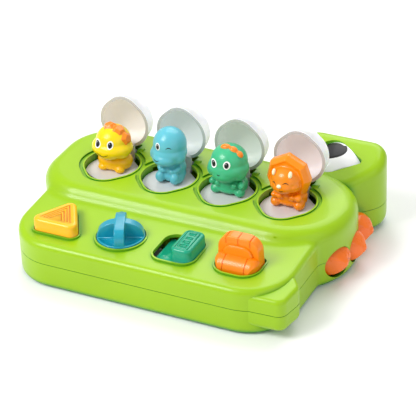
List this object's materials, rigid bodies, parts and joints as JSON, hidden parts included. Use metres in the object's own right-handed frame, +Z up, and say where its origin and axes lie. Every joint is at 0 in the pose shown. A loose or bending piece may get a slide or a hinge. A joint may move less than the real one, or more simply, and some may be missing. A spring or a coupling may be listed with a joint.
{
  "type": "pop up animal toy",
  "caption": "Green dinosaur-shaped pop-up toy with four clear-lidded wells, four animal figures and four different controls to open them.",
  "frame": {"origin": "middle of the row of four wells, on the flat underside", "axes": "+X along the row of wells, -Y towards the child and the controls, +Z up"},
  "size_m": [0.3143, 0.237, 0.1175],
  "materials": {
    "housing_green": "satin",
    "plate_grey": "matt",
    "lid_clear": "translucent gloss",
    "button_yellow": "gloss",
    "knob_blue": "gloss",
    "slider_green": "gloss",
    "lever_orange": "gloss",
    "spike_orange": "satin",
    "figure_yellow": "satin",
    "figure_blue": "satin",
    "figure_green": "satin",
    "figure_orange": "satin",
    "crest_orange": "satin",
    "horn_pale": "satin",
    "eye_white": "gloss",
    "inner_white": "matt",
    "steel": "drawn wire and rod"
  },
  "bodies": {
    "housing": {"top_shell": "housing_green", "bottom_shell": "housing_green", "eye_dome": "eye_white", "spike_front": "spike_orange", "spike_middle": "spike_orange", "spike_rear": "spike_orange", "hinge_pin_1": "steel", "hinge_pin_2": "steel", "hinge_pin_3": "steel", "hinge_pin_4": "steel", "flap_spring_1": "steel", "flap_spring_2": "steel", "flap_spring_3": "steel", "flap_spring_4": "steel", "control_tray": "inner_white", "lever_axle": "steel", "shell_screws": "steel", "tray_screws": "steel", "button_spring": "steel"},
    "flap_body_1": {"flap_1": "plate_grey", "lid_1": "lid_clear", "yellow_dino": "figure_yellow", "yellow_dino_crest": "crest_orange"},
    "flap_body_2": {"flap_2": "plate_grey", "lid_2": "lid_clear", "blue_dino": "figure_blue"},
    "flap_body_3": {"flap_3": "plate_grey", "lid_3": "lid_clear", "green_dino": "figure_green", "green_dino_crest": "crest_orange"},
    "flap_body_4": {"flap_4": "plate_grey", "lid_4": "lid_clear", "horned_dino": "figure_orange", "dino_horns": "horn_pale"},
    "button_body": {"push_button": "button_yellow"},
    "knob_body": {"turn_knob": "knob_blue"},
    "slider_body": {"slide_button": "slider_green"},
    "lever_body": {"flip_lever": "lever_orange"},
    "latch_body_1": {"latch_1": "inner_white"},
    "latch_body_2": {"latch_2": "inner_white"},
    "latch_body_3": {"latch_3": "inner_white"},
    "latch_body_4": {"latch_4": "inner_white"}
  },
  "joints": [
    {"name": "flap_1_hinge", "type": "hinge", "parent": "housing", "child": "flap_body_1", "pos_m": [-0.09, 0.033, 0.0575], "axis": [1, 0, 0], "range_deg": [0, 90], "stiffness_Nm_per_rad": 0.02, "springref_deg": -85.94},
    {"name": "flap_2_hinge", "type": "hinge", "parent": "housing", "child": "flap_body_2", "pos_m": [-0.03, 0.033, 0.0575], "axis": [1, 0, 0], "range_deg": [0, 90], "stiffness_Nm_per_rad": 0.02, "springref_deg": -85.94},
    {"name": "flap_3_hinge", "type": "hinge", "parent": "housing", "child": "flap_body_3", "pos_m": [0.03, 0.033, 0.0575], "axis": [1, 0, 0], "range_deg": [0, 90], "stiffness_Nm_per_rad": 0.02, "springref_deg": -85.94},
    {"name": "flap_4_hinge", "type": "hinge", "parent": "housing", "child": "flap_body_4", "pos_m": [0.09, 0.033, 0.0575], "axis": [1, 0, 0], "range_deg": [0, 90], "stiffness_Nm_per_rad": 0.02, "springref_deg": -85.94},
    {"name": "button_press", "type": "slide", "parent": "housing", "child": "button_body", "axis": [0, 0, -1], "range_m": [0, 0.005], "stiffness_N_per_m": 300, "springref_m": -0.002, "deforming": ["button_spring"]},
    {"name": "knob_turn", "type": "hinge", "parent": "housing", "child": "knob_body", "pos_m": [-0.03225, -0.092, 0.05], "axis": [0, 0, 1], "range_deg": [0, 45]},
    {"name": "slider_move", "type": "slide", "parent": "housing", "child": "slider_body", "axis": [-1, 0, 0], "range_m": [0, 0.014]},
    {"name": "lever_flip", "type": "hinge", "parent": "housing", "child": "lever_body", "pos_m": [0.08475, -0.094, 0.0445], "axis": [-1, 0, 0], "range_deg": [0, 20]},
    {"name": "latch_1_slide", "type": "slide", "parent": "housing", "child": "latch_body_1", "axis": [0, -1, 0], "range_m": [0, 0.0031]},
    {"name": "latch_2_slide", "type": "slide", "parent": "housing", "child": "latch_body_2", "axis": [0, -1, 0], "range_m": [0, 0.0031]},
    {"name": "latch_3_slide", "type": "slide", "parent": "housing", "child": "latch_body_3", "axis": [0, -1, 0], "range_m": [0, 0.0031]},
    {"name": "latch_4_slide", "type": "slide", "parent": "housing", "child": "latch_body_4", "axis": [0, -1, 0], "range_m": [0, 0.0032]}
  ],
  "couplings": [
    {"joint": "latch_1_slide", "follows": "button_press", "ratio": 0.6},
    {"joint": "latch_2_slide", "follows": "knob_turn", "m_per_rad": 0.00382},
    {"joint": "latch_3_slide", "follows": "slider_move", "ratio": 0.21429},
    {"joint": "latch_4_slide", "follows": "lever_flip", "m_per_rad": 0.0088}
  ]
}
